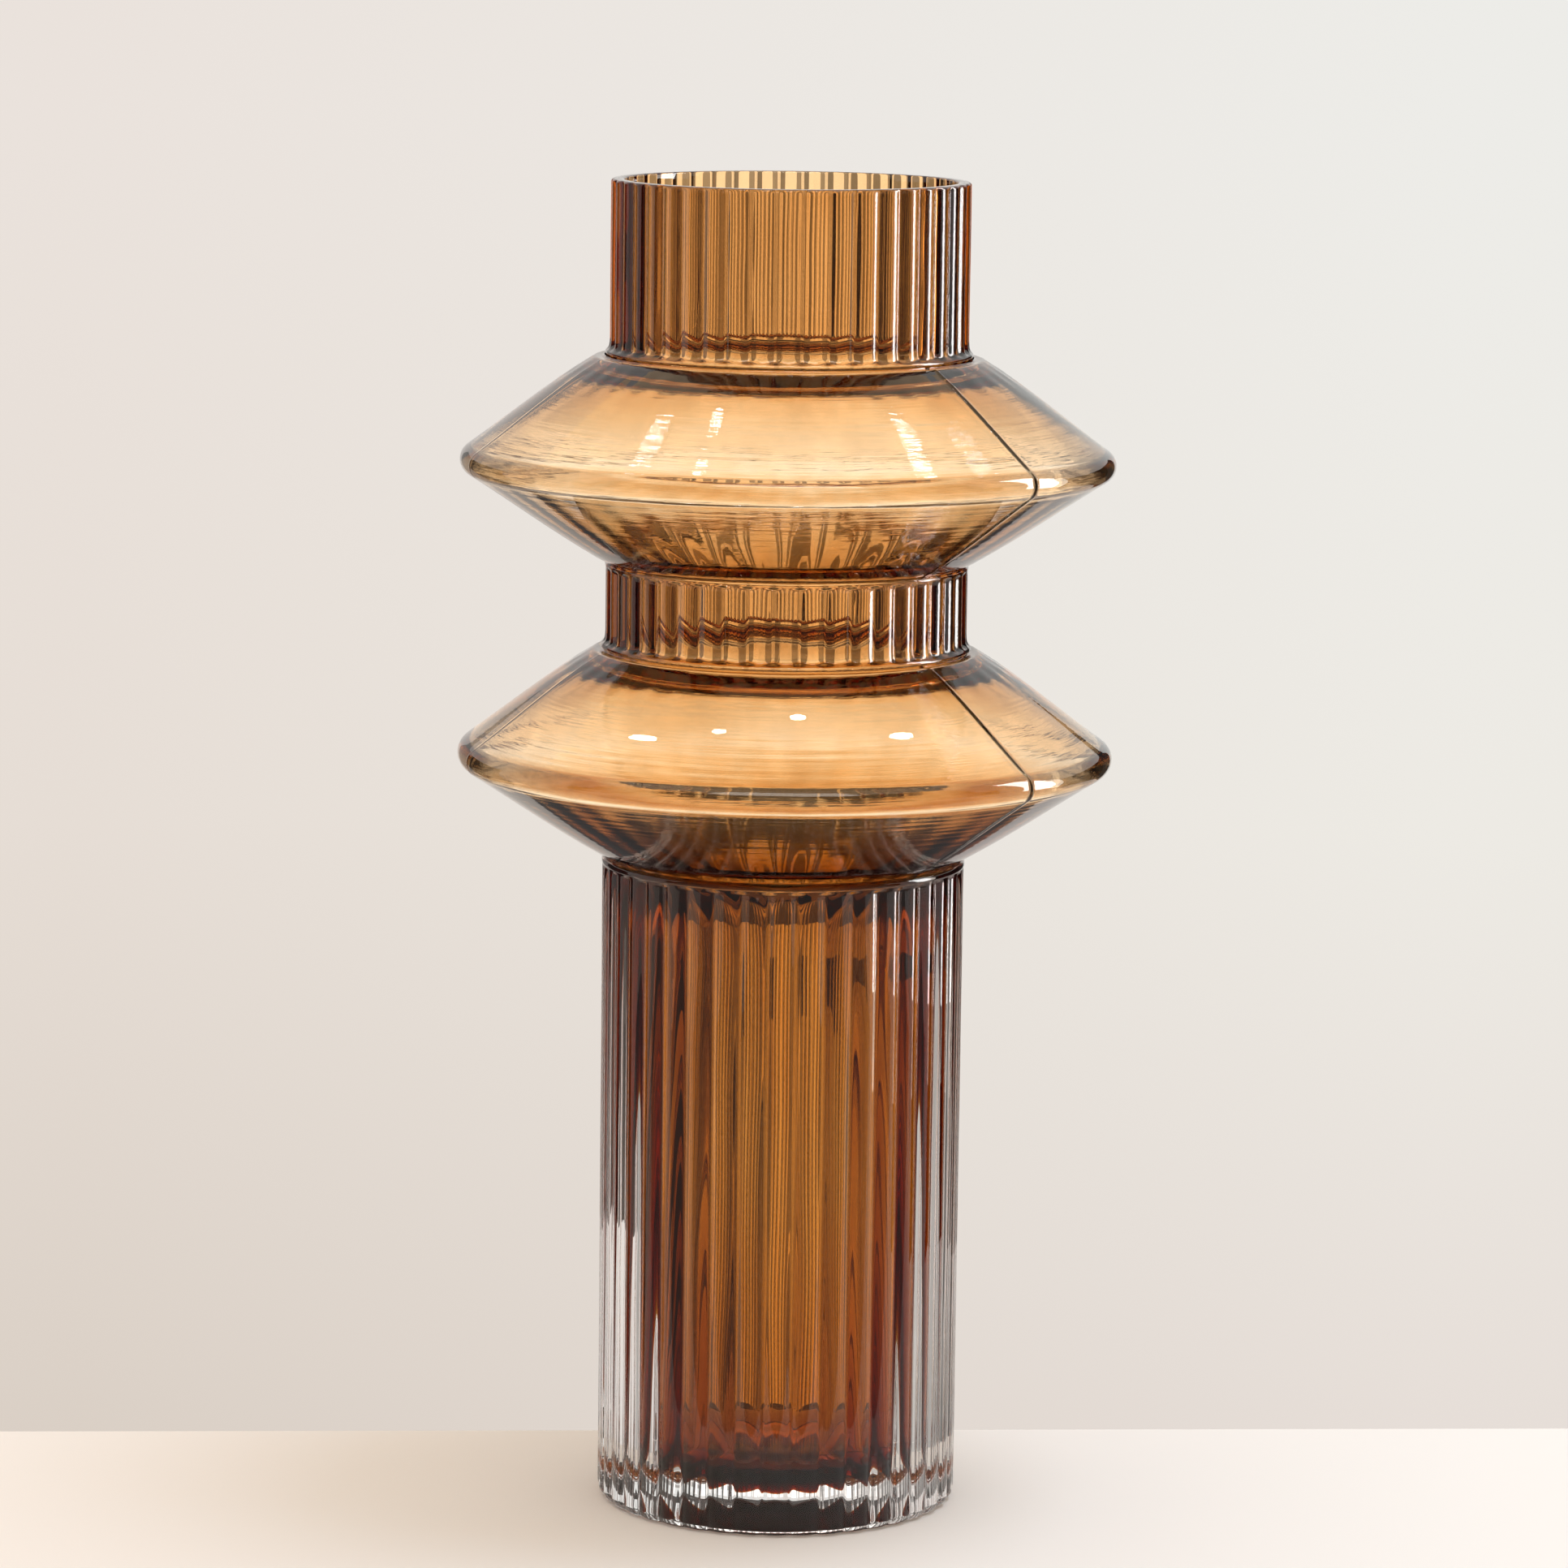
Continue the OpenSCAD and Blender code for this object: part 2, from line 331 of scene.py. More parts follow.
# ---------------------------------------------------------------- materials
def glass(name, absorb=None, density=0.0, rough=0.004, ring_bump=0.0, wave_bump=0.0, cord_bump=0.0, tint=(1, 1, 1), bands=None):
    m = bpy.data.materials.new(name)
    m.use_nodes = True
    nt = m.node_tree
    N, L = nt.nodes, nt.links
    for x in list(N):
        N.remove(x)
    out = N.new("ShaderNodeOutputMaterial")
    p = N.new("ShaderNodeBsdfPrincipled")
    p.inputs["Transmission Weight"].default_value = 1.0
    p.inputs["IOR"].default_value = 1.5
    p.inputs["Roughness"].default_value = rough
    L.new(p.outputs["BSDF"], out.inputs["Surface"])
    at = N.new("ShaderNodeAttribute")
    at.attribute_name = "glass_ior"
    L.new(at.outputs["Fac"], p.inputs["IOR"])
    tc = N.new("ShaderNodeTexCoord")
    # faint vertical cords and cloudiness in the melt
    mp = N.new("ShaderNodeMapping")
    mp.inputs["Scale"].default_value = (1, 1, 0.12)
    L.new(tc.outputs["Object"], mp.inputs["Vector"])
    nz = N.new("ShaderNodeTexNoise")
    nz.inputs["Scale"].default_value = 90
    nz.inputs["Detail"].default_value = 4
    L.new(mp.outputs["Vector"], nz.inputs["Vector"])
    cr = N.new("ShaderNodeValToRGB")
    cr.color_ramp.elements[0].position = 0.35
    cr.color_ramp.elements[0].color = (*[0.955 * t for t in tint], 1)
    cr.color_ramp.elements[1].position = 0.65
    cr.color_ramp.elements[1].color = (*tint, 1)
    L.new(nz.outputs["Fac"], cr.inputs["Fac"])
    if bands:
        # each rib of the mould drew the amber to its own depth of colour; on top of that, painted shade darkens the
        # colour towards each groove between the ribs
        count, low = bands

        def sum_(op, a, b=None, c=None):
            n = N.new("ShaderNodeMath")
            n.operation = op
            for k, v in enumerate((a, b, c)):
                if v is None:
                    continue
                if isinstance(v, (int, float)):
                    n.inputs[k].default_value = v
                else:
                    L.new(v, n.inputs[k])
            return n.outputs[0]
        sx = N.new("ShaderNodeSeparateXYZ")
        L.new(tc.outputs["Object"], sx.inputs[0])
        turn = sum_("MULTIPLY_ADD", sum_("ARCTAN2", sx.outputs["Y"], sx.outputs["X"]), count / (2 * math.pi), 200.0 + 0.5)
        wn = N.new("ShaderNodeTexWhiteNoise")
        wn.noise_dimensions = "1D"
        L.new(sum_("FLOOR", turn), wn.inputs["W"])
        off = sum_("ABSOLUTE", sum_("SUBTRACT", sum_("FRACT", turn), 0.5))
        # painted shade: the colour falls to 0.84 of itself towards each groove between ribs
        valley = N.new("ShaderNodeMapRange")
        valley.interpolation_type = "SMOOTHSTEP"
        for k, v in (("From Min", 0.36), ("From Max", 0.5), ("To Min", 1.0), ("To Max", 0.84)):
            valley.inputs[k].default_value = v
        L.new(off, valley.inputs["Value"])
        rib_tone_and_groove_shade = sum_("MULTIPLY", sum_("MULTIPLY_ADD", wn.outputs["Value"], 1.0 - low, low), valley.outputs["Result"])
        vm = N.new("ShaderNodeVectorMath")
        vm.operation = "SCALE"
        L.new(cr.outputs["Color"], vm.inputs[0])
        L.new(rib_tone_and_groove_shade, vm.inputs["Scale"])
        L.new(vm.outputs["Vector"], p.inputs["Base Color"])
    else:
        L.new(cr.outputs["Color"], p.inputs["Base Color"])
    last = None
    if wave_bump:
        n2 = N.new("ShaderNodeTexNoise")
        n2.inputs["Scale"].default_value = 55
        n2.inputs["Detail"].default_value = 2
        L.new(tc.outputs["Object"], n2.inputs["Vector"])
        b = N.new("ShaderNodeBump")
        b.inputs["Strength"].default_value = 1.0
        b.inputs["Distance"].default_value = wave_bump * MM
        L.new(n2.outputs["Fac"], b.inputs["Height"])
        last = b
    if cord_bump:
        m4 = N.new("ShaderNodeMapping")
        m4.inputs["Scale"].default_value = (1, 1, 0.07)
        L.new(tc.outputs["Object"], m4.inputs["Vector"])
        n4 = N.new("ShaderNodeTexNoise")
        n4.inputs["Scale"].default_value = 230
        n4.inputs["Detail"].default_value = 2
        L.new(m4.outputs["Vector"], n4.inputs["Vector"])
        b = N.new("ShaderNodeBump")
        b.inputs["Strength"].default_value = 1.0
        b.inputs["Distance"].default_value = cord_bump * MM
        L.new(n4.outputs["Fac"], b.inputs["Height"])
        if last:
            L.new(last.outputs["Normal"], b.inputs["Normal"])
        last = b
    if ring_bump:
        m2 = N.new("ShaderNodeMapping")
        m2.inputs["Scale"].default_value = (0.02, 0.02, 1)
        L.new(tc.outputs["Object"], m2.inputs["Vector"])
        n3 = N.new("ShaderNodeTexNoise")
        n3.inputs["Scale"].default_value = 900
        n3.inputs["Detail"].default_value = 3
        L.new(m2.outputs["Vector"], n3.inputs["Vector"])
        b = N.new("ShaderNodeBump")
        b.inputs["Strength"].default_value = 1.0
        b.inputs["Distance"].default_value = ring_bump * MM
        L.new(n3.outputs["Fac"], b.inputs["Height"])
        if last:
            L.new(last.outputs["Normal"], b.inputs["Normal"])
        last = b
    if last:
        L.new(last.outputs["Normal"], p.inputs["Normal"])
    if absorb:
        v = N.new("ShaderNodeVolumeAbsorption")
        v.inputs["Color"].default_value = (*absorb, 1)
        v.inputs["Density"].default_value = density
        L.new(v.outputs["Volume"], out.inputs["Volume"])
    return m


AMBER, COGNAC, HONEY = (0.84, 0.52, 0.0), (0.82, 0.545, 0.0), (0.77, 0.476, 0.0)
clear_rib = glass("clear_ribbed_glass", wave_bump=0.02)
clear_disc = glass("clear_disc_glass", ring_bump=0.04, wave_bump=0.02)
cognac = glass("cognac_glass", COGNAC, 700, wave_bump=0.02, cord_bump=0.012, bands=(N_COL, 0.80))
amber = glass("amber_glass", AMBER, 740, wave_bump=0.02, bands=(44, 0.89))
honey = glass("honey_glass", HONEY, 1440, ring_bump=0.04, wave_bump=0.03)


def finish_piece(ob, mat):
    ob.data.materials.clear()
    ob.data.materials.append(mat)
    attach(ob, "root")
    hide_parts(ob.name.replace("_glass", ""))
    return ob


# ---------------------------------------------------------------- the pieces
def inner_rows(pts, seed, amp, lt, lz, tag=AIR):
    out = []
    for r, z in pts:
        def f(th, r=r, z=z):
            return r + amp * waves(th, z, seed, lt, lz)
        out.append((f, z, tag, False))
    return out


SEAMS = [math.radians(a - 90) for a in (47, 167, 287)]   # three-part mould


def seam(th, height, width):
    """A fine mould seam: a small ridge with a step across it, at each joint of the mould."""
    out, full = 0.0, height
    for s in SEAMS:
        d = (th - s + math.pi) % (2 * math.pi) - math.pi
        height = height if s is SEAMS[0] else 0.25 * full
        out = out + height * np.exp(-(d / width) ** 2) + 0.5 * height * np.exp(-np.abs(d) / (width * 9)) * np.sign(d)
    return out


def seam_rows(pts, seed, amp, lt, lz, height, width, tag=AIR):
    out = []
    for r, z in pts:
        def f(th, r=r, z=z):
            return r + amp * waves(th, z, seed, lt, lz) + seam(th, height, width * 90.0 / r)
        out.append((f, z, tag, False))
    return out


def plain_rows(pts, tag, off=0.0):
    return [(r + off, z, tag, False) for r, z in pts]


def mark(rows, i, sharp=True, tag=None):
    r, z, t, s = rows[i][:4]
    rows[i] = (r, z, tag if tag is not None else t, sharp)


# clear foot, hollowed a little underneath
HOLLOW_R, HOLLOW = 46.0, 2.6
ball = (HOLLOW_R ** 2 + HOLLOW ** 2) / (2 * HOLLOW)
rows = [(r, HOLLOW - ball + math.sqrt(ball * ball - r * r), AIR, r == HOLLOW_R, AIR) for r in (1.0, 8.0, 16.0, 24.0, 32.0, 38.0, 42.0, 44.5, HOLLOW_R)]
rows += ribbed_rows(col_outer(0, Z_FOOT - GAP, True, False), N_COL, R_COL, 6.1, 0.07, 3)
top = rows[-1]
rows[-1] = (top[0], top[1], JOINT, True)
rows += [(r, z - GAP, JOINT, k == 0) for k, (r, z) in enumerate(dip_line()[::-1])]
base = lathe("base_disc_glass", rows, N_COL * 22, closed=False)
finish_piece(base, clear_rib)

# column casing
rows = ribbed_rows(col_outer(Z_FOOT + GAP, Z_COL - GAP, False, True), N_COL, R_COL, 6.1, 0.07, 3)
mark(rows, 0)
mark(rows, -1, True, JOINT)
edge = core_out()
inn = [(r + GAP, z) for r, z in edge][::-1]
inn[0] = (inn[0][0], Z_COL - GAP)
inn[-1] = (inn[-1][0], Z_FOOT + GAP)
inn = resample(inn, 12)
rows += [(r, z, JOINT, i in (0, len(inn) - 1)) for i, (r, z) in enumerate(inn)]
cas = lathe("column_casing_glass", rows, N_COL * 22)
finish_piece(cas, clear_rib)

# column core
o = resample(edge, 12)
o[0] = (o[0][0], Z_FOOT + GAP)
o[-1] = (o[-1][0], Z_COL - GAP)
rows = [(r, z + GAP, JOINT, False) for r, z in dip_line()] + [(r, z, JOINT, False) for r, z in o]
mark(rows, -1, True, JOINT)
rows[0] = (*rows[0][:4], JOINT)
i = resample(core_in(), 2.5)
i[0] = (i[0][0], Z_COL - GAP)
ir = inner_rows(i, 11, 0.28, 12, 150)
ir[0] = (i[0][0], i[0][1], AIR, True)
rows += ir
core = lathe("column_core_glass", rows, 320, closed=False)
finish_piece(core, cognac)


def seam_angles(base, extra, half):
    """Even steps round the axis, with fine ones at the mould seams."""
    th = list(np.arange(base) * (2 * math.pi / base))
    for q in SEAMS:
        th = [t for t in th if abs((t - q + math.pi) % (2 * math.pi) - math.pi) > half + 0.004]
        th += [(q + d) % (2 * math.pi) for d in np.linspace(-half, half, extra)]
    return np.array(sorted(th))


def disc(label, z0, z1, r0, r1, edge, wall, lo_mid, lo_in, lo_dir, ring, ring_low, seed):
    z0g, z1g = z0 + GAP, z1 - GAP
    fr = disc_frame(z0g, z1g, r0, r1, edge, 4.5, 0.55, 26)
    up = (0, 1)

    def core_t(u, low):
        return (0.14 + (1.0 + ring_low) * (1 - u)) if low else (0.22 + 0.75 * (1 - u) + ring * math.exp(-((u - 0.05) / 0.16) ** 2))

    def wall_t(u, low):
        return wall * (0.48 + 0.52 * (1 - u))

    out = fr[0] + bezier(fr[0][-1], (fr[0][-1][0] - fr[0][-2][0], fr[0][-1][1] - fr[0][-2][1]), (r1, z1g), up, 0.4, 8)[1:]
    mid = disc_layer(fr, lambda u, low: wall_t(u, low) - core_t(u, low), (lo_mid, z0g), lo_dir, (BORE + CORE_T, z1g), up)
    inner = disc_layer(fr, wall_t, (lo_in, z0g), lo_dir, (BORE, z1g), up)
    # casing
    rows = seam_rows(out, seed, 0.13, 6, 38, 0.38, 0.006)
    # faint wrinkles where the glass was pinched in to the ring above
    wr = []
    for (r, z), row in zip(out, rows):
        k = math.exp(-((z1 - 4.5 - z) / 3.2) ** 2) * 0.20

        def f(th, g=row[0], k=k, z=z):
            return g(th) + k * (0.55 * np.cos(N_NECK * th + 1.1 * np.sin(5 * th)) + 0.8 * waves(th, z, seed + 7, 33, 3.2))
        wr.append((f, *row[1:]))
    rows = wr
    mark(rows, 0)
    mark(rows, -1, True, JOINT)
    m = resample([(r + GAP, z) for r, z in mid][::-1], 5)
    rows += [(r, z, JOINT, k in (0, len(m) - 1)) for k, (r, z) in enumerate(m)]
    a = lathe(label + "_casing_glass", rows, seam_angles(420, 26, 0.05))
    finish_piece(a, clear_disc)
    # core
    m = resample(mid, 5)
    rows = [(r, z, JOINT, k in (0, len(m) - 1)) for k, (r, z) in enumerate(m)]
    inn = inner[::-1]
    ir = inner_rows(inn, seed + 1, 0.14, 6, 40)
    # the ribs below run on a little way up the inside of the disc
    zt = z0 + (z1 - z0) * 0.493
    nr = N_COL if label == "lower_disc" else N_NECK
    for q, (r, z) in enumerate(inn):
        k = 0.16 * max(0.0, 1 - (z - z0) / (zt - z0)) ** 0.7 * smooth(0.0, 3.0, z - z0)

        def f(th, g=ir[q][0], k=k, z=z):
            k2 = 0.20 * math.exp(-((z - (z1 - 3.0)) / 4.5) ** 2)
            return g(th) + k * (np.cos(nr * th + 0.8 * np.sin(3 * th)) + 0.5 * waves(th, z, seed + 3, 30, 25)) + k2 * waves(th, z, seed + 9, 24, 7)
        ir[q] = (f, *ir[q][1:])
    ir[0] = (inn[0][0], inn[0][1], AIR, True)
    ir[-1] = (inn[-1][0], inn[-1][1], JOINT, True)
    rows += ir
    b = lathe(label + "_core_glass", rows, 288)
    finish_piece(b, honey)


disc("lower_disc", Z_COL, Z_LD, 53.6, 55.2, R_LD, 3.0, 50.6, 48.4, (1.0, 0.9), 0.0, 1.3, 21)
disc("upper_disc", Z_WA, Z_UD, 54.4, 55.5, R_UD, 3.0, BORE + CORE_T, BORE, (0.0, 1.0), 0.0, 0.15, 31)


def sleeve(label, z0, z1, radius, top_bead, rim, seed):
    z0g, z1g = z0 + GAP, (z1 if rim else z1 - GAP)
    rows = []
    # lower ring
    prof = [(radius + 0.9, z0g, 0.0), (radius + 1.2, z0 + 0.35, 0.0), (radius + 1.3, z0 + 0.8, 0.0), (radius + 1.15, z0 + 1.25, 0.0),
            (radius + 0.8, z0 + 1.65, 0.22), (radius + 0.45, z0 + 2.1, 0.62), (radius + 0.2, z0 + 2.7, 0.9), (radius + 0.08, z0 + 3.6, 1.0),
            (radius, z0 + 5.2, 1.0)]
    zt = z1 - (3.4 if top_bead else 1.2)
    for z in np.arange(z0 + 7, zt, 2.0):
        prof.append((radius, float(z), 1.0))
    if top_bead:
        prof += [(radius, z1 - 3.0, 1.0), (radius, z1 - 2.4, 0.97), (radius + 0.05, z1 - 1.9, 0.8), (radius + 0.12, z1 - 1.5, 0.45),
                 (radius + 0.2, z1 - 1.15, 0.12), (radius + 0.2, z1 - 0.8, 0.0), (radius + 0.05, z1 - 0.4, 0.0), (radius - 0.3, z1g, 0.0)]
    else:
        prof.append((radius, z1 - 1.2, 1.0))
        for a in np.linspace(0, 80, 7):
            q = math.radians(a)
            prof.append((radius - 0.9 + 0.9 * math.cos(q), z1 - 0.9 + 0.9 * math.sin(q), 1.0 - 0.55 * math.sin(q)))
    rows = ribbed_rows(prof, N_NECK, radius, 5.5, 0.085, seed, wob=0.08)
    mark(rows, 0)
    b = BORE + CORE_T + GAP
    if rim:
        rows[-1] = (rows[-1][0], rows[-1][1], AIR, False)
        rows += [(b, z1, JOINT, True), (b, z0g, JOINT, True)]
    else:
        mark(rows, -1, True, JOINT)
        rows += [(b, z1g, JOINT, True), (b, z0g, JOINT, True)]
    a = lathe(label + "_casing_glass", rows, N_NECK * 20)
    finish_piece(a, clear_rib)
    # amber tube
    b -= GAP
    zs = np.linspace(z1g - (0.5 if rim else 0), z0g, 26)
    rows = [(b, z0g, JOINT, True), (b, z1g, AIR if rim else JOINT, True)]
    pts = [(BORE, float(z)) for z in zs]
    if rim:
        pts = [(BORE + 0.45, z1g), (BORE + 0.12, z1g - 0.15)] + pts
    ir = inner_rows(pts, seed + 2, 0.10, 8, 30)
    ir[0] = (pts[0][0], pts[0][1], AIR, not rim)
    ir[-1] = (pts[-1][0], pts[-1][1], JOINT, True)
    rows += ir
    t = lathe(label + "_core_glass", rows, 352)
    finish_piece(t, amber)


sleeve("waist", Z_LD, Z_WA, R_WA, True, False, 41)
sleeve("collar", Z_UD, Z_TOP, R_CO, False, True, 51)

# ---------------------------------------------------------------- stage
def stage_mesh(name, v, f, mat):
    me = bpy.data.meshes.new(name)
    me.from_pydata(v, [], f)
    me.update()
    me.materials.append(mat)
    ob = bpy.data.objects.new(name, me)
    bpy.context.scene.collection.objects.link(ob)
    return ob


def ramp(nt, fac, stops):
    cr = nt.nodes.new("ShaderNodeValToRGB")
    e = cr.color_ramp.elements
    e[0].position, e[0].color = stops[0][0], (*stops[0][1], 1)
    e[1].position, e[1].color = stops[-1][0], (*stops[-1][1], 1)
    for p, c in stops[1:-1]:
        x = e.new(p)
        x.color = (*c, 1)
    nt.links.new(fac, cr.inputs["Fac"])
    return cr.outputs["Color"]


def spread(nt, value, lo, hi):
    mr = nt.nodes.new("ShaderNodeMapRange")
    mr.inputs["From Min"].default_value = lo
    mr.inputs["From Max"].default_value = hi
    nt.links.new(value, mr.inputs["Value"])
    return mr.outputs["Result"]


def mix(nt, fac, a, b):
    mx = nt.nodes.new("ShaderNodeMix")
    mx.data_type = "RGBA"
    nt.links.new(fac, mx.inputs[0])
    nt.links.new(a, mx.inputs[6])
    nt.links.new(b, mx.inputs[7])
    return mx.outputs[2]


def place(nt):
    tc = nt.nodes.new("ShaderNodeTexCoord")
    sp = nt.nodes.new("ShaderNodeSeparateXYZ")
    nt.links.new(tc.outputs["Object"], sp.inputs[0])
    return sp.outputs


def glow_mat(name, build):
    """A surface lit evenly: its brightness is given, whatever the lamps do."""
    m = bpy.data.materials.new(name)
    m.use_nodes = True
    nt = m.node_tree
    for x in list(nt.nodes):
        nt.nodes.remove(x)
    out = nt.nodes.new("ShaderNodeOutputMaterial")
    em = nt.nodes.new("ShaderNodeEmission")
    nt.links.new(em.outputs[0], out.inputs["Surface"])
    c = build(nt)
    if isinstance(c, tuple):
        em.inputs["Color"].default_value = (*c, 1)
    else:
        nt.links.new(c, em.inputs["Color"])
    return m


def wall_painted_falloff(nt):
    # painted light: the backdrop glows darker and warmer low down and towards the left, where less light falls on it
    p = place(nt)
    z = spread(nt, p[2], -0.62, 0.42)
    left = ramp(nt, z, [(0.0, (0.700, 0.625, 0.558)), (0.43, (0.791, 0.723, 0.665)), (0.9, (0.823, 0.761, 0.716))])
    right = ramp(nt, z, [(0.0, (0.790, 0.725, 0.680)), (0.43, (0.847, 0.823, 0.775)), (0.9, (0.847, 0.839, 0.807))])
    return mix(nt, spread(nt, p[0], -0.50, 0.46), left, right)


WALL_R = 2.4
n = 96
v, f = [], []
for i in range(n):
    a = 2 * math.pi * i / n
    v += [(WALL_R * math.sin(a), WALL_R * math.cos(a), -1.4), (WALL_R * math.sin(a), WALL_R * math.cos(a), 3.0)]
    j = (i + 1) % n
    f.append((2 * i, 2 * j, 2 * j + 1, 2 * i + 1))
stage_mesh("back_wall", v, f, glow_mat("wall_glow_painted_light", wall_painted_falloff))

# table top, level in the picture's slightly turned frame
EDGE_Y, SKEW, TOP = 0.072, 0.056, -0.0002
x0, x1, y0, z0 = -1.6, 1.6, -1.6, -0.05
m = bpy.data.materials.new("table_painted_falloff")
m.use_nodes = True
nt = m.node_tree
p = nt.nodes["Principled BSDF"]
p.inputs["Roughness"].default_value = 0.75
p.inputs["Specular IOR Level"].default_value = 0.0
pl = place(nt)
nz = nt.nodes.new("ShaderNodeTexNoise")
nz.inputs["Scale"].default_value = 3
# painted light: the table's colour is darker and warmer towards the left, where less neutral light falls
col = ramp(nt, spread(nt, pl[0], -0.26, 0.22), [(0.0, (0.86, 0.79, 0.715)), (1.0, (0.88, 0.85, 0.81))])
nt.links.new(col, p.inputs["Base Color"])
v = [(x0, y0, z0), (x1, y0, z0), (x1, EDGE_Y + SKEW * x1, z0), (x0, EDGE_Y + SKEW * x0, z0),
     (x0, y0, TOP), (x1, y0, TOP), (x1, EDGE_Y + SKEW * x1, TOP), (x0, EDGE_Y + SKEW * x0, TOP)]
stage_mesh("table", v, [(0, 3, 2, 1), (4, 5, 6, 7), (0, 1, 5, 4), (1, 2, 6, 5), (2, 3, 7, 6), (3, 0, 4, 7)], m)


# ---------------------------------------------------------------- light
def polar(az, el, d, z0=0.2):
    """A point d metres from the vase; az is measured from straight behind it (+Y) towards +X."""
    a, e = math.radians(az), math.radians(el)
    return Vector((d * math.sin(a) * math.cos(e), d * math.cos(a) * math.cos(e), z0 + d * math.sin(e)))


def unseen(o, through=True):
    """Part of the room that shows only in the glass: not to the camera, and it lights nothing."""
    o.visible_camera = False
    o.visible_diffuse = False
    o.visible_shadow = False
    o.visible_transmission = through
    return o


def card(name, az0, az1, el0, el1, d, c, through=True, base=0.2):
    n = max(2, int((az1 - az0) / 4))
    v, f = [], []
    for i in range(n + 1):
        az = az0 + (az1 - az0) * i / n
        for el in (el0, el1):
            q = polar(az, 0, d)
            v.append((q.x, q.y, base + d * math.tan(math.radians(el))))
        if i < n:
            f.append((2 * i, 2 * i + 2, 2 * i + 3, 2 * i + 1))
    return unseen(stage_mesh(name, v, f, glow_mat(name, lambda nt: c)), through)


def panel(name, x0, x1, y0, y1, z, c, through=True):
    v = [(x0, y0, z), (x1, y0, z), (x1, y1, z), (x0, y1, z)]
    return unseen(stage_mesh(name, v, [(0, 1, 2, 3)], glow_mat(name, lambda nt: c)), through)


CAM = Vector((0.0, -1.819, 0.501))


def spot(name, upper, phi, u, dphi, du, d, c):
    """A small glowing disc d metres out along the reflected view, seen only in the glass, shaped and placed so that its
    shine on a disc's upper face sits phi degrees right of the front, u of the way out to the edge, and is 2 dphi
    degrees wide and 2 du long. Set a few millimetres off the glass it is no lamp but a painted glint."""
    fr = disc_frame(Z_WA, Z_UD, 54.4, 55.5, R_UD, 4.5, 0.55, 26) if upper else disc_frame(Z_COL, Z_LD, 53.6, 55.2, R_LD, 4.5, 0.55, 26)
    half = [k for k, w in enumerate(fr[2]) if w >= 1.0][-1]
    us = [fr[2][k] for k in range(half, len(fr[2]))][::-1]
    v = []
    for t in np.linspace(0, 2 * math.pi, 17)[:-1]:
        w = u + du * math.sin(t)
        a = math.radians(phi + dphi * math.cos(t))
        g = [float(np.interp(w, us, [q[c2] for q in fr[i][half:]][::-1])) for i in (0, 1) for c2 in (0, 1)]
        p = Vector((g[0] * math.sin(a), -g[0] * math.cos(a), g[1])) * MM
        n = Vector((-g[2] * math.sin(a), g[2] * math.cos(a), -g[3])).normalized()
        e = (p - CAM).normalized()
        e = e - 2 * e.dot(n) * n
        v.append(tuple(p + e * d))
    return unseen(stage_mesh(name, v, [tuple(range(16))], glow_mat(name, lambda nt: c)), False)


def tint(c, k):
    return tuple(k * t for t in c)


DARK = (0.018, 0.016, 0.015)
card("card_right", 20, 34, -17, 14, 1.55, tint((1.0, 0.94, 0.87), 0.05))
card("card_right_far", 34, 71, -17, 14, 1.55, DARK)
card("card_back_right", 102, 168, -30, 14, 1.55, DARK)
card("card_back_left", 192, 258, -30, 14, 1.55, DARK)
card("card_left", 324, 340, -28, 14, 1.55, tint((1.0, 0.94, 0.88), 0.42))
card("card_left_far", 294, 324, -28, 14, 1.55, tint((1.0, 0.92, 0.84), 0.05))
for k, (lo, hi, c) in enumerate(((-8, 8, 1.6), (-20, -8, 0.56), (8, 20, 0.40))):
    glow = card("behind_%d" % k, lo, hi, -31, 9.5 if k == 0 else 4, 2.2, tint((1.0, 0.937, 0.87), c))
    glow.visible_glossy = False
above = card("card_above", -22, 22, 9.5, 24, 1.5, (0.08, 0.07, 0.065))
above.visible_glossy = False
card("card_below", -22, 22, -58, -27, 1.5, (0.15, 0.137, 0.132))
card("room_front", 110, 250, -8, 50, 1.5, (0.15, 0.14, 0.13), through=False)
# painted reflection: a dim glowing sheet just above the table in front, seen only in the glass, darkens the table's
# reflection there
panel("cloth", -0.8, 0.8, -1.2, -0.17, 0.0006, (0.36, 0.33, 0.30), through=False)

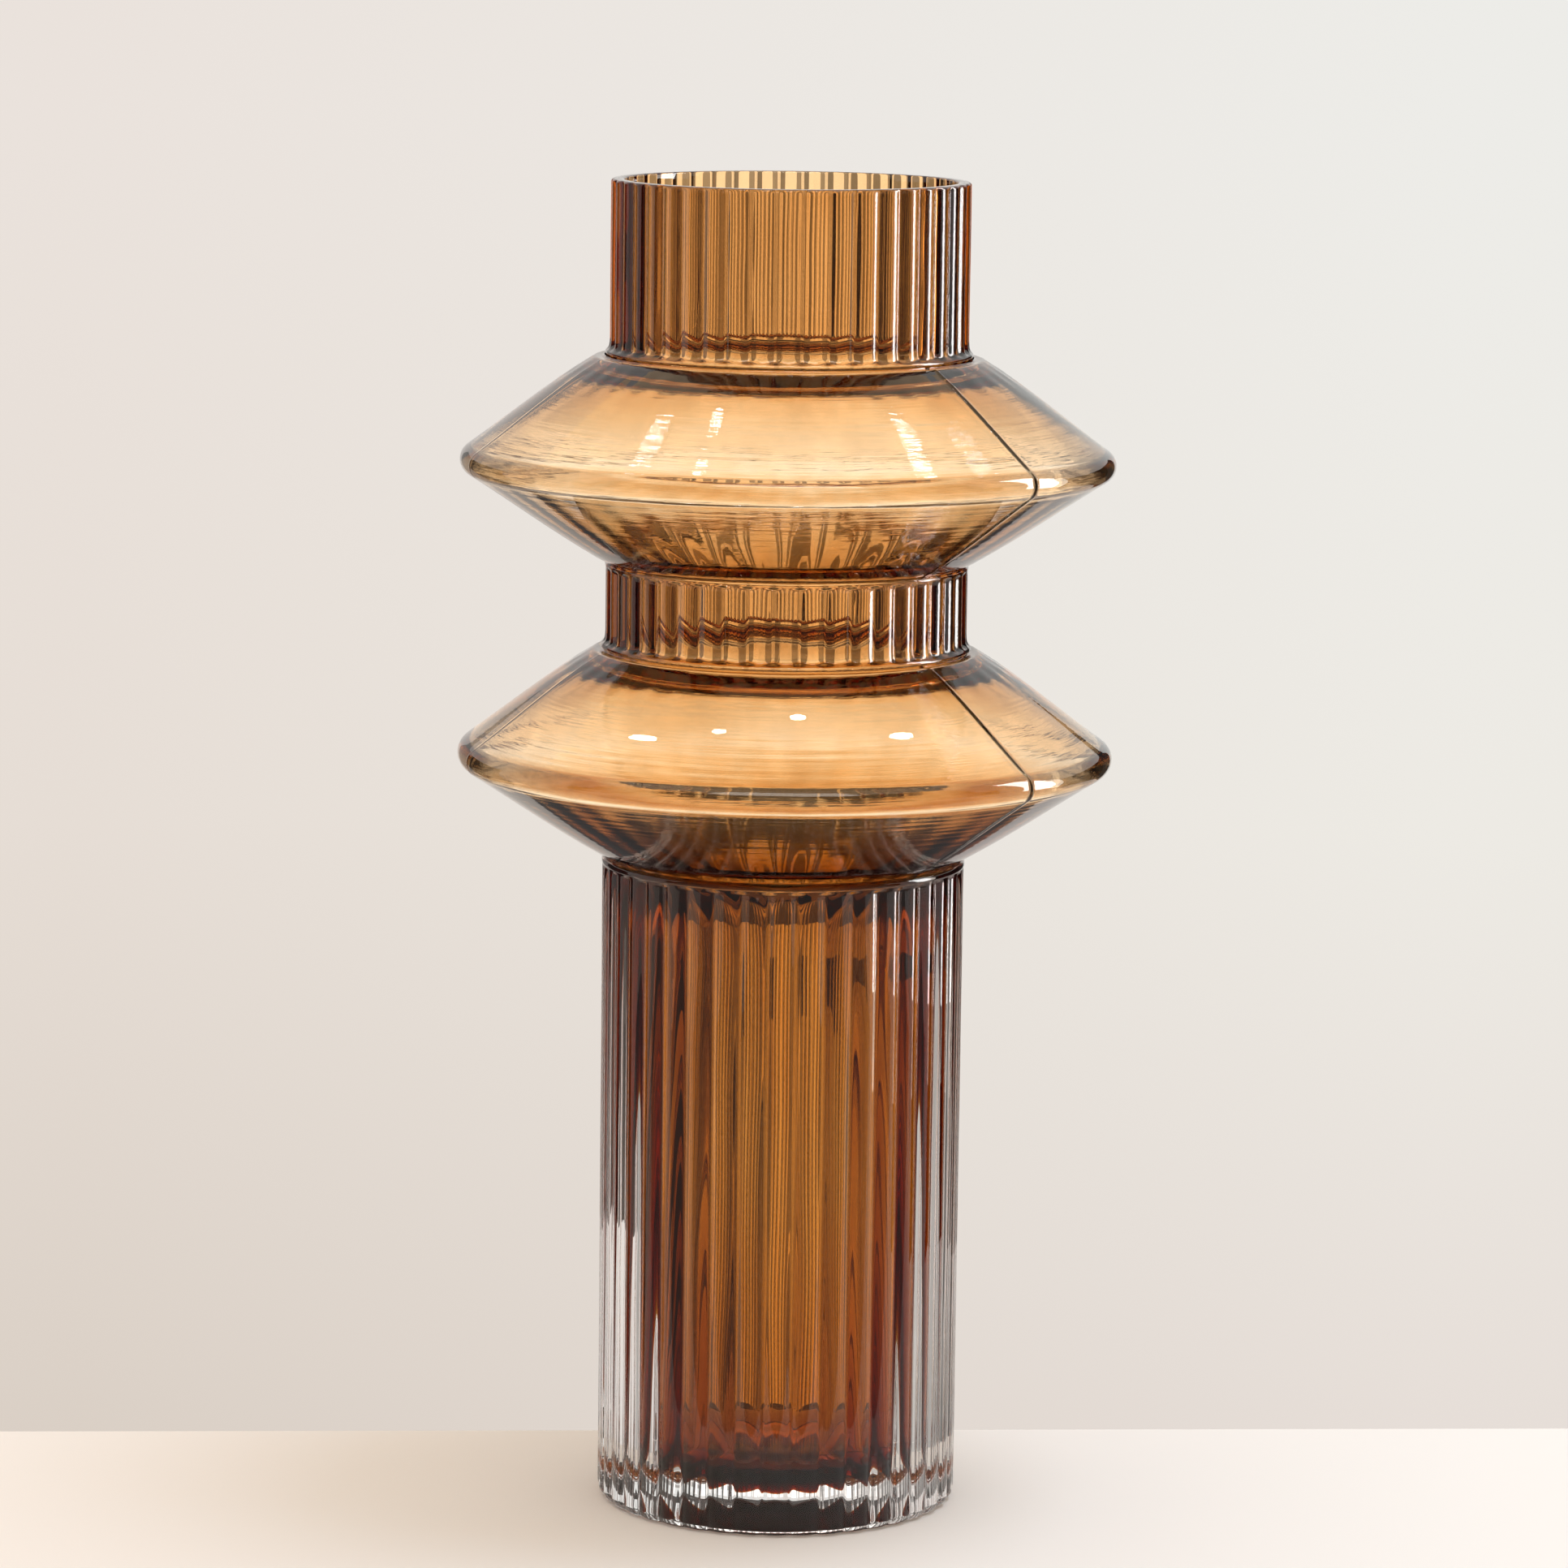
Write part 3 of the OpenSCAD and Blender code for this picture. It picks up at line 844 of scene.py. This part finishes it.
WARM = (1.0, 0.74, 0.50)
panel("ceiling", -1.1, 1.1, -0.7, 1.3, 1.7, tint(WARM, 1.42))
card("front_top", 150, 210, 42, 70, 1.2, (5.0, 4.6, 4.1), through=False, base=0.25)
card("window", 72, 89, -12, 40, 1.45, tint((1.0, 0.99, 0.98), 16), through=False)
card("strip", 69.5, 74.5, -14, 22, 1.43, tint((1.0, 0.93, 0.82), 4.5))
# the upper disc's glints shine from glowing discs 1.35 m away; the lower disc's come from glowing discs 8 mm above its
# glass, which are painted glints
for k, (up, phi, u, dphi, du) in enumerate(((True, -16, 0.43, 1.3, 0.022), (True, -27.6, 0.62, 2.2, 0.020), (True, 25, 0.55, 2.2, 0.020),
                                            (True, 37, 0.80, 3.0, 0.014), (False, 3, 0.38, 1.9, 0.026), (False, -14, 0.52, 1.6, 0.018),
                                            (False, -30, 0.62, 3.4, 0.028), (False, 25, 0.56, 2.8, 0.028))):
    spot("spot_%d" % k, up, phi, u, dphi, du, 1.35 if up else 0.008, tint((1.0, 0.97, 0.92), 55 if up else 30))


def area(name, loc, target, sx, sy, bright, color=(1, 1, 1)):
    """A soft lamp of the given brightness (radiance), out of sight of the glass."""
    l = bpy.data.lights.new(name, "AREA")
    l.shape = "RECTANGLE"
    l.size, l.size_y = sx, sy
    l.energy = math.pi * sx * sy * bright
    l.color = color
    o = bpy.data.objects.new(name, l)
    o.location = loc
    o.rotation_euler = (Vector(target) - Vector(loc)).to_track_quat("-Z", "Y").to_euler()
    bpy.context.scene.collection.objects.link(o)
    o.visible_camera = False
    o.visible_glossy = False
    o.visible_transmission = False
    return o


area("key_soft", polar(98, 76, 2.2), (0, 0, 0.1), 0.8, 0.8, 6.4, (0.78, 1.0, 1.34))
w = bpy.data.worlds.new("room")
w.use_nodes = True
w.node_tree.nodes["Background"].inputs["Color"].default_value = (1.0, 0.88, 0.745, 1)
w.node_tree.nodes["Background"].inputs["Strength"].default_value = 1.36
bpy.context.scene.world = w

# ---------------------------------------------------------------- camera
cam_d = bpy.data.cameras.new("camera")
cam_d.sensor_fit = "HORIZONTAL"
cam_d.sensor_width = 36
cam_d.lens = 36 * 7468 / 1932
cam_d.clip_start, cam_d.clip_end = 0.05, 50
cam = bpy.data.objects.new("camera", cam_d)
pitch = math.radians(8.76)
roll = math.radians(0.72)
loc = CAM
fwd = Vector((0, math.cos(pitch), -math.sin(pitch)))
q = fwd.to_track_quat("-Z", "Y").to_matrix()
q = q @ Matrix.Rotation(roll, 3, "Z")
cam.matrix_world = Matrix.Translation(loc) @ q.to_4x4()
bpy.context.scene.collection.objects.link(cam)
bpy.context.scene.camera = cam

sc = bpy.context.scene
sc.view_settings.view_transform = "Standard"
sc.view_settings.look = "None"
sc.cycles.max_bounces = 48
sc.cycles.transmission_bounces = 48
sc.cycles.glossy_bounces = 16
sc.cycles.diffuse_bounces = 4
sc.cycles.transparent_max_bounces = 16
